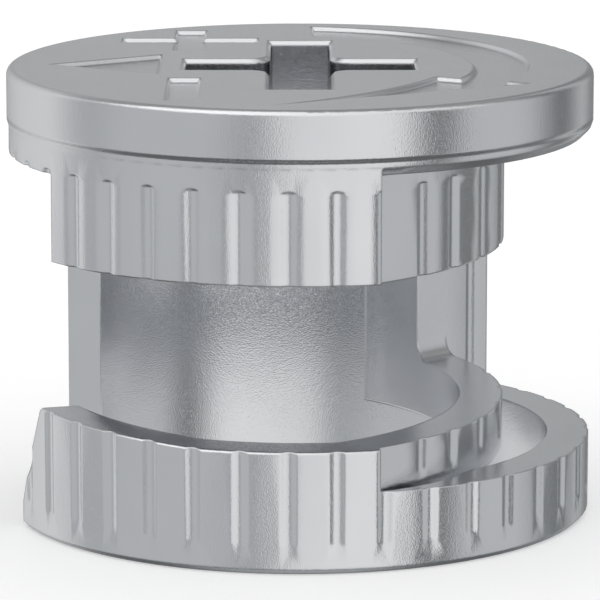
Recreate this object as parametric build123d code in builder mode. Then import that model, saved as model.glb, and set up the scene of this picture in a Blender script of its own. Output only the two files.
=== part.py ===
"""Cam lock housing for knock-down furniture: one zinc die casting, 15 mm nominal.

Frame: +Z up, origin at the centre of the bottom ring, where the casting stands.
The bolt head enters along X from the -X side, where the arrow on the top face points.
Angles are in degrees in plan, from +X towards +Y.
"""
from math import atan2, cos, degrees, hypot, radians, sin, sqrt, tan
import os

from build123d import *

# Overall size
body_radius = 7.45          # runs in a 15 mm bore
housing_height = 11.45
wall = 1.09

# Heights above the bottom face, where the casting stands
ring_height = 2.00          # bottom ring outside the lower arm
arm_underside = 1.60
mouth_floor = 3.06          # the bolt's neck runs between floor and roof
mouth_roof = 7.14

# The top plate and its rim, measured down from the top face
roof_depth = 2.12           # of the cavity's roof
plate_thickness = 1.65
rim_depth = 1.43            # of the line below which the rim's edge slopes out
rim_slope = 0.10            # height of that slope
rim_lip = 0.04              # how far the rim stands proud of the wall below it
die_step = 0.004            # the die's parts don't meet quite flush

# Where the full-radius wall stops and the cam arms take over, and where it starts again
front_wall_end = -74.5
back_wall_start = 47.3

# Entry for the bolt head, about the -X axis
entry_half_angle = 34.0

# The lower front wall reaches further round, with a sloping end
toe_angle = 199.0           # at the toe's height and below
toe_top_angle = 209.0       # level with the mouth floor
toe_height = 0.64

# Cam arms: the outer face is nearest to the axis at the low angle, and rises with
# the square of the angle from there to where it leaves the front wall
arm_inset = 2.285           # how far inside the wall the arm's nearest point stands
arm_low_angle = 6.0
arm_rise = 2.02
arm_step = 12.0             # spacing of the points of the curve, in degrees
arm_gap = 0.28              # slit between the lower arm and the bottom ring
slit_start_gap = 0.08       # narrower where the slit starts at the front wall
arm_edge_fillet = 0.25
arm_end_fillet = 0.20       # where the arm ends on the back wall, inside
mouth_end_fillet = 0.50

# The floor of the mouth climbs towards the entry
ramp_start = 2.4            # distance from the axis towards -X
ramp_end = 6.5
ramp_rise = 0.26

# Edges
rim_fillet = 0.20
rim_under_chamfer = 0.20
base_chamfer = 0.12
lip_fillet = 0.10           # along the mouth's outer edges

# Grooves: two rounded flanks fall from the wall and meet in a sharp line
groove_count = 39
groove_first = -92.2
groove_half_width = 0.21
groove_shoulder_angle = 6.0     # slope of a flank where it leaves the wall
groove_line_angle = 29.0        # and where it meets the other flank
groove_top_rise = 0.17      # the grooves end this far above the cavity's roof
groove_foot = 0.42          # where the wall's grooves run out
groove_run_out = 0.35       # length over which a groove fades at its foot
groove_top_run = 0.08
groove_tool_spread = 0.30   # the cutter reaches this far past its flanks
groove_tool_clear = 0.02    # and stands this far off the wall at its two ends
arm_groove_foot = 2.08
arm_groove_run_out = 0.25
arm_groove_angles = (-63.4, -52.9, -38.8, -20.6, 0.0, 21.0)
end_groove_radius = 6.72    # one more groove, on the end of the back wall

# Driver recess, a cross of two slots
recess_length = 8.14
recess_width = 1.52
recess_cross_length = 5.82
recess_cross_width = 1.78
recess_depth = 1.55
recess_inner_corner = 0.55
recess_end_corner = 0.12
recess_edge = 0.10          # bevel round the opening

# Marks sunk in the top face: plus, minus, the entry's arrow and the turning arrow
mark_depth = 0.12
mark_edge = 0.05            # bevel round each mark, at the top and at its floor
mark_stroke = 0.74
plus_size = 3.50
minus_length = 3.47
sign_gap = 0.37             # from the recess to the plus, which the minus lines up with
plus_inset = 0.714          # from the rim to the outermost corner of each sign
minus_inset = 0.823
arrow_tip_inset = 1.16      # from the rim
arrow_gap = 0.67            # from the recess
arrow_half_width = 1.62
# The turning arrow: each point by its distance from the rim and its angle, but the inner
# arc's by how far they stand outside the circle through the recess's ends
turn_outer_arc = ((0.79, 87.2), (1.33, 44.4), (1.63, -28.5))
turn_head_corner = (1.00, -29.5)
turn_tip = (1.39, -88.4)
turn_heel = (3.43, -31.5)
turn_head_bow = 0.3174        # sagitta of the head's inner edge, from tip to heel
turn_inner_arc = ((0.63, -31.0), (0.39, 46.2), (0.84, 85.4))

cavity_roof = housing_height - roof_depth
rim_underside = housing_height - plate_thickness
rim_line = housing_height - rim_depth
die_line = cavity_roof      # where the die's halves meet on the wall, just below the groove tops
groove_top = cavity_roof + groove_top_rise
inner_radius = body_radius - wall
wall_radius = body_radius - rim_lip
ring_radius = wall_radius + die_step
arm_low_radius = body_radius - arm_inset
reach = body_radius + 1.0   # cutting profiles end outside the casting
signs_x = recess_width / 2 + sign_gap + plus_size / 2
arrow_tip = (arrow_tip_inset - body_radius, 0)
arrow_base_x = -recess_cross_length / 2 - arrow_gap


def polar(radius, angle):
    return (radius * cos(radians(angle)), radius * sin(radians(angle)))


def from_rim(inset, angle):
    """A point of the top face, by its distance from the rim."""
    return polar(body_radius - inset, angle)


def from_recess(gap, angle):
    """A point of the top face, by its distance from the circle through the recess's ends."""
    return polar(recess_length / 2 + gap, angle)


def sign_centre(length, inset):
    """How far from the X axis a sign of that length stands, with its outer corner near the rim."""
    corner_x = signs_x + mark_stroke / 2
    return sqrt((body_radius - inset) ** 2 - corner_x**2) - length / 2


def arm_point(angle, outset=0.0):
    """A point on the arm's outer face, moved out along its normal by the outset."""
    span = front_wall_end - arm_low_angle
    share = (angle - arm_low_angle) / span
    radius = arm_low_radius + arm_rise * share**2
    slope = 2 * arm_rise * share / radians(span)
    c, s = cos(radians(angle)), sin(radians(angle))
    length = hypot(radius, slope)
    normal = ((radius * c + slope * s) / length, (radius * s - slope * c) / length)
    return (radius * c + outset * normal[0], radius * s + outset * normal[1])


def arm_curve(start, end, outset=0.0):
    """The points of the arm's face from one angle to the other."""
    steps = max(2, round(abs(end - start) / arm_step))
    return [arm_point(start + (end - start) * i / steps, outset) for i in range(steps + 1)]


def arm_angle_at(radius):
    """The angle, past the low angle, where the arm's outer face reaches a radius."""
    return arm_low_angle + (arm_low_angle - front_wall_end) * sqrt((radius - arm_low_radius) / arm_rise)


def sector(start, end, radius):
    """The face between two angles out to a radius, from the axis."""
    middle = polar(radius, (start + end) / 2)
    with BuildSketch() as face:
        with BuildLine():
            Polyline((0, 0), polar(radius, start))
            ThreePointArc(polar(radius, start), middle, polar(radius, end))
            Polyline(polar(radius, end), (0, 0))
        make_face()
    return face.sketch


def arm_place(angle):
    """Where a groove stands on the arm's outer face, and the way it faces."""
    x, y = arm_point(angle)
    out_x, out_y = arm_point(angle, 1.0)
    return Location((x, y, 0), (0, 0, degrees(atan2(out_y - y, out_x - x))))


def groove_tool(foot, run_out):
    """A cutter whose edge points along -X from a wall at X = 0, sloping out at foot and top."""
    edge = (-groove_depth, 0)
    shoulder = (0, groove_half_width)
    side = groove_half_width + groove_tool_spread
    rise = groove_tool_spread * tan(radians(groove_shoulder_angle))
    with BuildSketch() as section:
        with BuildLine():
            RadiusArc(edge, shoulder, groove_flank_radius)
            Polyline(shoulder, (rise, side), (side, side), (side, 0))
            mirror(about=Plane.XZ)
        make_face()
    top = groove_top - groove_top_run
    off = groove_depth + groove_tool_clear
    heights = ((foot, off), (foot + run_out, 0), (top, 0), (groove_top, off))
    with BuildPart() as tool:
        for low, high in zip(heights, heights[1:]):
            for height, outset in (low, high):
                with BuildSketch(Plane((outset, 0, height))):
                    add(section.sketch)
            loft(ruled=True)
    return tool


def body_outline(radius):
    """The plan of the wall and the cam arm: an arc of that radius, closed by the arm's face."""
    middle = polar(radius, (back_wall_start + front_end) / 2)
    with BuildSketch() as outline:
        with BuildLine():
            ThreePointArc(polar(radius, back_wall_start), middle, polar(radius, front_end))
            Line(polar(radius, front_end), arm_point(front_wall_end))
            Spline(arm_curve(front_wall_end, back_wall_start))
            Line(arm_point(back_wall_start), polar(radius, back_wall_start))
        make_face()
    return outline.sketch


def on_wall(edge):
    """True for an edge with both ends on the outer wall."""
    return all(hypot(end.X, end.Y) > wall_radius - die_step for end in (edge @ 0, edge @ 1))


arm_root = arm_angle_at(inner_radius)
front_end = 360 + front_wall_end

flank_rise = sin(radians(groove_line_angle)) - sin(radians(groove_shoulder_angle))
flank_fall = cos(radians(groove_shoulder_angle)) - cos(radians(groove_line_angle))
groove_flank_radius = groove_half_width / flank_rise
groove_depth = groove_flank_radius * flank_fall
wall_groove = groove_tool(groove_foot, groove_run_out)
arm_groove = groove_tool(arm_groove_foot, arm_groove_run_out)

# Cutter for the mouth: from the entry round the front to the end face
with BuildPart() as mouth_cutter:
    with BuildSketch(Plane.XY.offset(mouth_floor)):
        add(sector(180 - 360, back_wall_start, reach))
    extrude(amount=mouth_roof - mouth_floor)
    end_edges = mouth_cutter.edges().filter_by(Plane.XY).filter_by(GeomType.LINE)
    end_edges = end_edges.sort_by(Axis.X)[-2:]
    fillet(end_edges, mouth_end_fillet)
    with BuildSketch(Plane.XZ) as ramp:
        with BuildLine():
            slope = ramp_rise / (ramp_end - ramp_start)
            Polyline(
                (-ramp_start, mouth_floor),
                (-reach, mouth_floor),
                (-reach, mouth_floor + slope * (reach - ramp_start)),
                (-ramp_start, mouth_floor),
            )
        make_face()
    extrude(amount=reach, mode=Mode.SUBTRACT)

# Cutter for the entry: full height below the roof, and the toe's sloping end
with BuildPart() as entry_cutter:
    with BuildSketch(Plane.XY.offset(mouth_floor + ramp_rise)):
        add(sector(180 - entry_half_angle, 180 + entry_half_angle, reach))
    extrude(amount=cavity_roof - mouth_floor - ramp_rise)
    with BuildSketch(Plane.XY.offset(toe_height)):
        add(sector(180 - entry_half_angle, toe_angle, reach))
    with BuildSketch(Plane.XY.offset(mouth_floor + ramp_rise)):
        add(sector(180 - entry_half_angle, toe_top_angle, reach))
    loft(ruled=True)
    with BuildSketch():
        add(sector(180 - entry_half_angle, toe_angle, reach))
    extrude(amount=toe_height)

# Body: the full-radius wall round the back, left and front, and the cam arm at the right.
# Above the die line the wall is drawn in by a hair, where the upper half of the die closes.
with BuildPart() as body:
    with BuildSketch(Plane.XY.offset(arm_underside)):
        add(body_outline(wall_radius))
    extrude(amount=die_line - arm_underside)
    lower_edges = body.edges().group_by(Axis.Z)[0]
    fillet(lower_edges.filter_by(GeomType.BSPLINE), arm_edge_fillet)
    with BuildSketch(Plane.XY.offset(die_line)):
        add(body_outline(wall_radius - die_step))
    extrude(amount=rim_line - die_line)

with BuildPart() as housing:
    # Bottom ring, with the slit beside the lower arm
    with BuildSketch():
        Circle(ring_radius)
        Circle(inner_radius, mode=Mode.SUBTRACT)
    extrude(amount=ring_height)
    chamfer(housing.edges().group_by(Axis.Z)[0].sort_by(SortBy.RADIUS)[-1], base_chamfer)
    with BuildSketch(Plane.XY.offset(arm_underside)):
        with BuildLine():
            slit_start = arm_point(front_wall_end, slit_start_gap)
            Spline([slit_start] + arm_curve(front_wall_end + arm_step, arm_low_angle, arm_gap))
            Polyline(arm_point(arm_low_angle, arm_gap), (0, 0), slit_start)
        make_face()
    extrude(amount=ring_height - arm_underside, mode=Mode.SUBTRACT)

    # Front wall, flush with the ring up to the mouth
    with BuildSketch(Plane.XY.offset(arm_underside)):
        add(sector(180, front_end, ring_radius))
        Circle(inner_radius, mode=Mode.SUBTRACT)
    extrude(amount=mouth_roof - arm_underside)
    add(body.part)

    # Top plate and rim
    with BuildSketch(Plane.XZ):
        with BuildLine():
            Polyline(
                (0, rim_underside),
                (wall_radius - rim_under_chamfer, rim_underside),
                (wall_radius, rim_underside + rim_under_chamfer),
                (wall_radius, rim_line),
                (body_radius, rim_line + rim_slope),
                (body_radius, housing_height),
                (0, housing_height),
                close=True,
            )
        make_face()
    revolve(axis=Axis.Z)
    fillet(housing.edges().group_by(Axis.Z)[-1], rim_fillet)

    # Cavity, open below
    with BuildSketch():
        Circle(inner_radius)
    extrude(amount=arm_underside, mode=Mode.SUBTRACT)
    with BuildSketch(Plane.XY.offset(arm_underside)) as cavity:
        Circle(inner_radius)
        with BuildLine():
            Spline(arm_curve(front_wall_end - arm_step / 2, arm_root, -wall))
            Polyline(
                arm_point(arm_root, -wall),
                polar(reach, arm_root),
                polar(2 * reach, 0),
                polar(reach, front_wall_end - arm_step / 2),
                arm_point(front_wall_end - arm_step / 2, -wall),
            )
        make_face(mode=Mode.SUBTRACT)
        fillet(cavity.vertices().sort_by_distance(arm_point(arm_root, -wall))[0], arm_end_fillet)
    extrude(amount=cavity_roof - arm_underside, mode=Mode.SUBTRACT)

    add(mouth_cutter.part, mode=Mode.SUBTRACT)
    add(entry_cutter.part, mode=Mode.SUBTRACT)

    # Rounding along the mouth's outer edges, where they are level
    lips = housing.edges().filter_by_position(Axis.Z, mouth_roof, mouth_roof)
    lips += housing.edges().filter_by_position(Axis.Z, mouth_floor, mouth_floor)
    fillet(lips.filter_by(GeomType.CIRCLE).filter_by(on_wall), lip_fillet)

    # Grooves round the wall, down the arms and on the end of the back wall
    with PolarLocations(wall_radius, groove_count, start_angle=groove_first):
        add(wall_groove.part, mode=Mode.SUBTRACT)
    with Locations(*[arm_place(angle) for angle in arm_groove_angles]):
        add(arm_groove.part, mode=Mode.SUBTRACT)
    end_place = Location((*polar(end_groove_radius, back_wall_start), 0), (0, 0, back_wall_start - 90))
    with Locations(end_place):
        add(arm_groove.part, mode=Mode.SUBTRACT)

    # Sunk marks, with a bevel round the top and the floor of each
    with BuildSketch(Plane.XY.offset(housing_height)):
        with Locations((-signs_x, sign_centre(plus_size, plus_inset))):
            Rectangle(plus_size, mark_stroke)
            Rectangle(mark_stroke, plus_size)
        with Locations((-signs_x, -sign_centre(minus_length, minus_inset))):
            Rectangle(mark_stroke, minus_length)
        with BuildLine():
            Polyline(
                arrow_tip,
                (arrow_base_x, arrow_half_width),
                (arrow_base_x, -arrow_half_width),
                close=True,
            )
        make_face()
        with BuildLine():
            outer = ThreePointArc(*[from_rim(*point) for point in turn_outer_arc])
            head = SagittaArc(from_rim(*turn_tip), from_rim(*turn_heel), -turn_head_bow)
            inner = ThreePointArc(*[from_recess(*point) for point in turn_inner_arc])
            Polyline(outer @ 1, from_rim(*turn_head_corner), head @ 0)
            Line(head @ 1, inner @ 0)
            Line(inner @ 1, outer @ 0)
        make_face()
    extrude(amount=-mark_depth, mode=Mode.SUBTRACT)
    floors = housing.faces().filter_by(Plane.XY).filter_by_position(
        Axis.Z, housing_height - 1.5 * mark_depth, housing_height - mark_depth / 2
    )
    top_face = housing.faces().sort_by(Axis.Z)[-1]
    mark_wires = floors.wires() + top_face.inner_wires()
    chamfer(mark_wires.edges(), mark_edge)

    # Driver recess, with a bevel round its opening
    with BuildSketch(Plane.XY.offset(housing_height)) as cross:
        Rectangle(recess_width, recess_length)
        Rectangle(recess_cross_length, recess_cross_width)
        inner_corners = cross.vertices().group_by(lambda v: round(hypot(v.X, v.Y), 3))[0]
        end_corners = cross.vertices() - inner_corners
        fillet(inner_corners, recess_inner_corner)
        fillet(end_corners, recess_end_corner)
    extrude(amount=-recess_depth, mode=Mode.SUBTRACT)
    top_face = housing.faces().sort_by(Axis.Z)[-1]
    opening = top_face.inner_wires().sort_by_distance(top_face.center())[0]
    chamfer(opening.edges(), recess_edge)

housing.part.label = "cam_housing"

os.makedirs("parts", exist_ok=True)
export_step(housing.part, "parts/cam_housing.step")
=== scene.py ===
# Cam lock housing for flat-pack furniture, on a pale studio table.
import math

import bpy
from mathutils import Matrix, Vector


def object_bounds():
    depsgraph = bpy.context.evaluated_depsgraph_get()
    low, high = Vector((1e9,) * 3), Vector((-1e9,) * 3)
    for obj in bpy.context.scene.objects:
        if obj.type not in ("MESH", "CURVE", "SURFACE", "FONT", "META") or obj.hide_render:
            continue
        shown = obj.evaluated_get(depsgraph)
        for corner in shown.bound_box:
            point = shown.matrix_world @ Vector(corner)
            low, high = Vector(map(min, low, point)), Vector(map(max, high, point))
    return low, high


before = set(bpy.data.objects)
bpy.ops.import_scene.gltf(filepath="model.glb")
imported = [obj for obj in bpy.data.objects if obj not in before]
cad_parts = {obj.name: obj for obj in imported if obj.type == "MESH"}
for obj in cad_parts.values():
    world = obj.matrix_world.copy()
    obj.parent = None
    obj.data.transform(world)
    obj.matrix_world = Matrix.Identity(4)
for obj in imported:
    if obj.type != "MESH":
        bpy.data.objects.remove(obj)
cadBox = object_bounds()
scene = bpy.context.scene
mm = 0.001
print("frame loaded:", ", ".join(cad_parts))


def linearColour(hexCode):
    # sRGB hex to the linear values that Blender's sockets take
    channels = [int(hexCode[i:i + 2], 16) / 255 for i in (1, 3, 5)]
    linear = [c / 12.92 if c <= 0.04045 else ((c + 0.055) / 1.055) ** 2.4 for c in channels]
    return (*linear, 1)


def addNode(tree, kind, links=(), values=None, **settings):
    # a node with its settings, its links as (from socket, own socket) and its values by own socket
    node = tree.nodes.new(kind)
    for name, setting in settings.items():
        setattr(node, name, setting)
    for socket, value in (values or {}).items():
        node.inputs[socket].default_value = value
    for source, socket in links:
        tree.links.new(source, node.inputs[socket])
    return node


def newMaterial(name):
    material = bpy.data.materials.new(name)
    material.use_nodes = True
    material.node_tree.nodes.clear()
    return material, material.node_tree


# A Mix node keeps its sockets for each kind of data: two inputs and its output
vectorMix = (4, 5, 1)
colourMix = (6, 7, 2)

# The casting
casting = {
    "colour": "#DEDFE1",              # bright nickel, a touch cooler than the zinc below it
    "shadeColour": "#D6D7DA",
    "roughness": 0.13,
    "roughnessSpread": 0.05,
    "edge": 0.09 * mm,                # tumbled and plated edges have no sharp corner
    "edgeSamples": 8,
    "grainSize": 0.034 * mm,          # cast grain, drawn about as coarse as it has to be to show
    "grainHeight": 0.0046 * mm,
    "peelSize": 0.08 * mm,            # orange peel of the plating
    "peelHeight": 0.0012 * mm,
    "flowSize": 1.8 * mm,             # slow swells where the metal flowed
    "flowHeight": 0.004 * mm,
    "patternDetail": 1.0,
    "weld": 0.005 * mm,               # closes the joints between the CAD's faces
    "sharpAngle": 40,                 # in degrees: softer folds than this are shaded as one surface
}

# The rim and the step under it: radii from the axis and heights above the base
rim = {
    "filletAcross": (7.25 * mm, 7.45 * mm),    # where the rim rounds over into the top
    "filletUp": (11.25 * mm, 11.45 * mm),
    "leastUp": 0.001,                          # keeps the direction from being zero low down inside
    "flatFrom": 11.4495 * mm,                  # all that is higher is the flat of the top
    "roundFrom": (10.28 * mm, 10.45 * mm),     # the wall turns truly round between these heights
    "step": (10.12 * mm, 10.28 * mm),          # the rim swells out between these heights
    "stepHeight": 0.05 * mm,
    "stepRadius": 7.0 * mm,                    # only the outer wall has the step
}


def rimShape(tree, place):
    # The flat top and the round rim as they truly are, because the mesh's long triangles blur them,
    # and the soft step under the rim, which turns the metal's reflection down to the shaded table
    parts = addNode(tree, "ShaderNodeSeparateXYZ", [(place, "Vector")])
    height = parts.outputs["Z"]
    across = addNode(tree, "ShaderNodeCombineXYZ",
                     [(parts.outputs["X"], "X"), (parts.outputs["Y"], "Y")]).outputs["Vector"]
    distance = addNode(tree, "ShaderNodeVectorMath", [(across, 0)], operation="LENGTH")
    radius = distance.outputs["Value"]
    outward = addNode(tree, "ShaderNodeVectorMath", [(across, 0)], operation="NORMALIZE")

    inner, outer = rim["filletAcross"]
    foot, crown = rim["filletUp"]
    sideways = addNode(tree, "ShaderNodeMapRange", [(radius, "Value")],
                       {"From Min": inner, "From Max": outer})
    upwards = addNode(tree, "ShaderNodeMapRange", [(height, "Value")],
                      {"From Min": foot, "From Max": crown, "To Min": rim["leastUp"]})
    side = addNode(tree, "ShaderNodeVectorMath",
                   [(outward.outputs["Vector"], 0), (sideways.outputs["Result"], "Scale")],
                   operation="SCALE")
    up = addNode(tree, "ShaderNodeCombineXYZ", [(upwards.outputs["Result"], "Z")])
    facing = addNode(tree, "ShaderNodeVectorMath",
                     [(side.outputs["Vector"], 0), (up.outputs["Vector"], 1)])
    turned = addNode(tree, "ShaderNodeVectorTransform", [(facing.outputs["Vector"], "Vector")],
                     vector_type="NORMAL", convert_from="OBJECT", convert_to="WORLD")
    trueNormal = turned.outputs["Vector"]

    low, high = rim["roundFrom"]
    outside = addNode(tree, "ShaderNodeMath", [(radius, 0)], {1: inner}, operation="GREATER_THAN")
    roundPart = addNode(tree, "ShaderNodeMapRange",
                        [(height, "Value"), (outside.outputs[0], "To Max")],
                        {"From Min": low, "From Max": high}, interpolation_type="SMOOTHSTEP")
    onRim = roundPart.outputs["Result"]
    onTop = addNode(tree, "ShaderNodeMath", [(height, 0)], {1: rim["flatFrom"]},
                    operation="GREATER_THAN")
    either = addNode(tree, "ShaderNodeMath", [(onRim, 0), (onTop.outputs[0], 1)],
                     operation="MAXIMUM")
    asMeshed = addNode(tree, "ShaderNodeNewGeometry").outputs["Normal"]
    first, second, result = vectorMix
    mended = addNode(tree, "ShaderNodeMix",
                     [(either.outputs[0], "Factor"), (asMeshed, first), (trueNormal, second)],
                     data_type="VECTOR")
    edges = addNode(tree, "ShaderNodeBevel", [(mended.outputs[result], "Normal")],
                    {"Radius": casting["edge"]}, samples=casting["edgeSamples"])
    rounded = addNode(tree, "ShaderNodeMix",
                      [(onRim, "Factor"), (edges.outputs["Normal"], first), (trueNormal, second)],
                      data_type="VECTOR")

    low, high = rim["step"]
    rise = addNode(tree, "ShaderNodeMapRange", [(height, "Value")],
                   {"From Min": low, "From Max": high}, interpolation_type="SMOOTHSTEP")
    outerWall = addNode(tree, "ShaderNodeMath", [(radius, 0)], {1: rim["stepRadius"]},
                        operation="GREATER_THAN")
    swell = addNode(tree, "ShaderNodeMath",
                    [(rise.outputs["Result"], 0), (outerWall.outputs[0], 1)], operation="MULTIPLY")
    step = addNode(tree, "ShaderNodeBump",
                   [(swell.outputs[0], "Height"), (rounded.outputs[result], "Normal")],
                   {"Distance": rim["stepHeight"]})
    return step.outputs["Normal"]


def nickelPlatedZinc():
    # Nickel-plated zinc die casting: a bright mirror whose reflections break up into a fine grain
    material, tree = newMaterial("nickelPlatedZincDieCasting")
    place = addNode(tree, "ShaderNodeTexCoord").outputs["Object"]
    normal = rimShape(tree, place)
    patterns = {}
    for name in ("flow", "peel", "grain"):
        noise = addNode(tree, "ShaderNodeTexNoise", [(place, "Vector")],
                        {"Scale": 1 / casting[name + "Size"], "Detail": casting["patternDetail"]})
        patterns[name] = noise.outputs["Fac"]
        bump = addNode(tree, "ShaderNodeBump", [(patterns[name], "Height"), (normal, "Normal")],
                       {"Distance": casting[name + "Height"]})
        normal = bump.outputs["Normal"]
    first, second, result = colourMix
    tone = addNode(tree, "ShaderNodeMix", [(patterns["flow"], "Factor")],
                   {first: linearColour(casting["shadeColour"]),
                    second: linearColour(casting["colour"])}, data_type="RGBA")
    roughness = addNode(tree, "ShaderNodeMapRange", [(patterns["peel"], "Value")],
                        {"To Min": casting["roughness"] - casting["roughnessSpread"],
                         "To Max": casting["roughness"] + casting["roughnessSpread"]})
    shader = addNode(tree, "ShaderNodeBsdfPrincipled",
                     [(tone.outputs[result], "Base Color"),
                      (roughness.outputs["Result"], "Roughness"), (normal, "Normal")],
                     {"Metallic": 1.0})
    addNode(tree, "ShaderNodeOutputMaterial", [(shader.outputs["BSDF"], "Surface")])
    return material


def smoothShading(piece):
    # One surface across the CAD's faces, so that a reflection runs on over their joints
    weld = piece.modifiers.new("weld", "WELD")
    weld.merge_threshold = casting["weld"]
    split = piece.modifiers.new("sharpEdges", "EDGE_SPLIT")
    split.split_angle = math.radians(casting["sharpAngle"])
    normals = piece.modifiers.new("smoothNormals", "WEIGHTED_NORMAL")
    normals.mode = "FACE_AREA_WITH_ANGLE"


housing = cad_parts["cam_housing"]
castMetal = nickelPlatedZinc()
for slot in housing.material_slots:
    slot.material = castMetal
smoothShading(housing)
print("casting finished")

# The studio: a pale table inside a light tent. The sides, turn and edges below are the X, Y or Z
# of a direction of length 1.
studio = {
    "tableHalf": 0.60,
    "tableDrop": 0.01 * mm,           # keeps the table clear of the casting's lower face
    "tableColour": "#FAFAFA",
    "tableRoughness": 0.7,
    "tableLift": 0.24,                # what the camera sees on top of the light on the table
    "tentLight": 0.85,                # strength of the plain light that falls on everything
    "overhead": (1.45, 0.90),         # strength of the tent's top, at its left and its right
    "overheadSides": (-0.6, 0.6),
    "overheadBack": 0.36,             # its strength behind the casting
    "overheadTurn": (-0.10, 0.30),    # it goes over from front to back between these
    "overheadEdge": (0.45, 0.75),     # and the wall goes over into it between these heights
    "under": 0.15,                    # what the metal shows of the shaded table close below it
    "underEdge": (-0.45, -0.75),
    "straightDown": 0.45,
    "straightDownEdge": (-0.86, -0.97),
    "coolShade": 0.07,                # how much red the tent's darkest parts lack
}

# The wall of the tent as the metal shows it: direction in degrees from +X, and its strength.
# The brightest box stands in front and another behind at the left, with dark flags at the right
# and straight behind.
tentWall = [
    (-180, 0.48), (-168, 0.58), (-150, 0.60), (-124, 0.60), (-116, 0.54), (-110, 0.42),
    (-104, 0.50), (-97, 0.86), (-62, 0.96), (-50, 0.94), (-43, 0.54), (-36, 0.16), (-31, 0.24),
    (-24, 0.62), (8, 0.62), (20, 0.42), (29, 0.22), (37, 0.20), (44, 0.36), (53, 0.58),
    (60, 0.48), (68, 0.24), (83, 0.33), (87, 0.46), (92, 0.49), (98, 0.42), (110, 0.57),
    (130, 0.73), (156, 0.82), (170, 0.60),
]


def paleTable():
    # White laminate table top, matt: it takes the object's soft shadow
    material, tree = newMaterial("paleLaminateTable")
    path = addNode(tree, "ShaderNodeLightPath")
    lift = addNode(tree, "ShaderNodeMath", [(path.outputs["Is Camera Ray"], 0)],
                   {1: studio["tableLift"]}, operation="MULTIPLY")
    shader = addNode(tree, "ShaderNodeBsdfPrincipled", [(lift.outputs[0], "Emission Strength")],
                     {"Base Color": linearColour(studio["tableColour"]),
                      "Roughness": studio["tableRoughness"], "Emission Color": (1, 1, 1, 1)})
    addNode(tree, "ShaderNodeOutputMaterial", [(shader.outputs["BSDF"], "Surface")])
    half = studio["tableHalf"]
    corners = [(-half, -half, 0), (half, -half, 0), (half, half, 0), (-half, half, 0)]
    mesh = bpy.data.meshes.new("table")
    mesh.from_pydata(corners, [], [(0, 1, 2, 3)])
    mesh.materials.append(material)
    table = bpy.data.objects.new("table", mesh)
    scene.collection.objects.link(table)
    table.location.z = cadBox[0][2] - studio["tableDrop"]
    table.visible_glossy = False      # the metal shows the tent all round, as on a glass table


def tentTone(strength):
    # the darker parts of the tent are a little blue
    lack = studio["coolShade"] * (1 - strength)
    return (strength * (1 - lack), strength * (1 - lack / 3), strength, 1)


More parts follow.
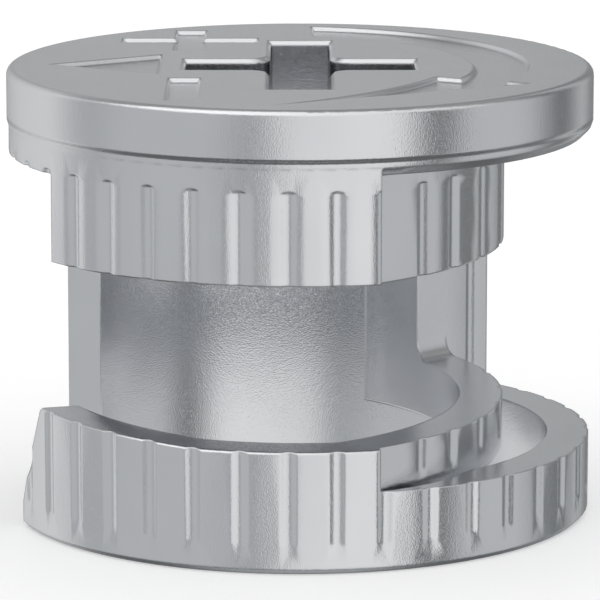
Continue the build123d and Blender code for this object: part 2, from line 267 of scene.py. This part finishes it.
def lightTent():
    # White to the camera, plain to matt surfaces, and the tent's boxes and flags to the metal
    world = bpy.data.worlds.new("lightTent")
    world.use_nodes = True
    scene.world = world
    tree = world.node_tree
    tree.nodes.clear()
    first, second, result = colourMix
    towards = addNode(tree, "ShaderNodeTexCoord").outputs["Generated"]
    parts = addNode(tree, "ShaderNodeSeparateXYZ", [(towards, "Vector")])
    turn = addNode(tree, "ShaderNodeMath", [(parts.outputs["Y"], 0), (parts.outputs["X"], 1)],
                   operation="ARCTAN2")
    share = addNode(tree, "ShaderNodeMapRange", [(turn.outputs[0], "Value")],
                    {"From Min": -math.pi, "From Max": math.pi})
    wall = addNode(tree, "ShaderNodeValToRGB", [(share.outputs["Result"], "Fac")])
    stops = wall.color_ramp.elements
    for index, (direction, strength) in enumerate(tentWall):
        place = (direction + 180) / 360
        stop = stops[index] if index < 2 else stops.new(place)    # a new ramp has two stops
        stop.position = place
        stop.color = tentTone(strength)
    stops.new(1.0).color = tentTone(tentWall[0][1])

    left, right = studio["overheadSides"]
    atLeft, atRight = studio["overhead"]
    sideways = addNode(tree, "ShaderNodeMapRange", [(parts.outputs["X"], "Value")],
                       {"From Min": left, "From Max": right, "To Min": atLeft, "To Max": atRight})
    edges = {}
    for name, axis in (("overheadTurn", "Y"), ("overheadEdge", "Z"), ("underEdge", "Z"),
                       ("straightDownEdge", "Z")):
        start, full = studio[name]
        edge = addNode(tree, "ShaderNodeMapRange", [(parts.outputs[axis], "Value")],
                       {"From Min": start, "From Max": full}, interpolation_type="SMOOTHSTEP")
        edges[name] = edge.outputs["Result"]
    top = addNode(tree, "ShaderNodeMix",
                  [(edges["overheadTurn"], "Factor"), (sideways.outputs["Result"], "A")],
                  {"B": studio["overheadBack"]})
    upper = addNode(tree, "ShaderNodeMix",
                    [(edges["overheadEdge"], "Factor"), (wall.outputs["Color"], first),
                     (top.outputs["Result"], second)], data_type="RGBA")
    lower = addNode(tree, "ShaderNodeMix", [(edges["straightDownEdge"], "Factor")],
                    {first: tentTone(studio["under"]), second: tentTone(studio["straightDown"])},
                    data_type="RGBA")
    tent = addNode(tree, "ShaderNodeMix",
                   [(edges["underEdge"], "Factor"), (upper.outputs[result], first),
                    (lower.outputs[result], second)], data_type="RGBA")

    path = addNode(tree, "ShaderNodeLightPath")
    plain = addNode(tree, "ShaderNodeMapRange", [(path.outputs["Is Camera Ray"], "Value")],
                    {"To Min": studio["tentLight"], "To Max": 1.0})
    shown = addNode(tree, "ShaderNodeMix",
                    [(path.outputs["Is Glossy Ray"], "Factor"), (plain.outputs["Result"], first),
                     (tent.outputs[result], second)], data_type="RGBA")
    background = addNode(tree, "ShaderNodeBackground", [(shown.outputs[result], "Color")])
    addNode(tree, "ShaderNodeOutputWorld", [(background.outputs["Background"], "Surface")])


paleTable()
lightTent()
print("studio ready")

# The camera looks down a little from in front of the axis, close enough to see into the mouth
view = {
    "eye": (0, -122.14 * mm, 29.97 * mm),
    "pitchDown": 11.40,               # in degrees
    "lens": 291.75,                   # focal length and sensor width as a camera gives them, in mm
    "sensor": 36.0,
    "nearest": 1 * mm,
}
lens = bpy.data.cameras.new("photoCamera")
lens.lens = view["lens"]
lens.sensor_width = view["sensor"]
lens.clip_start = view["nearest"]
camera = bpy.data.objects.new("photoCamera", lens)
camera.location = view["eye"]
camera.rotation_euler = (math.radians(90 - view["pitchDown"]), 0, 0)
scene.collection.objects.link(camera)
scene.camera = camera
scene.view_settings.view_transform = "Standard"
print("camera placed")
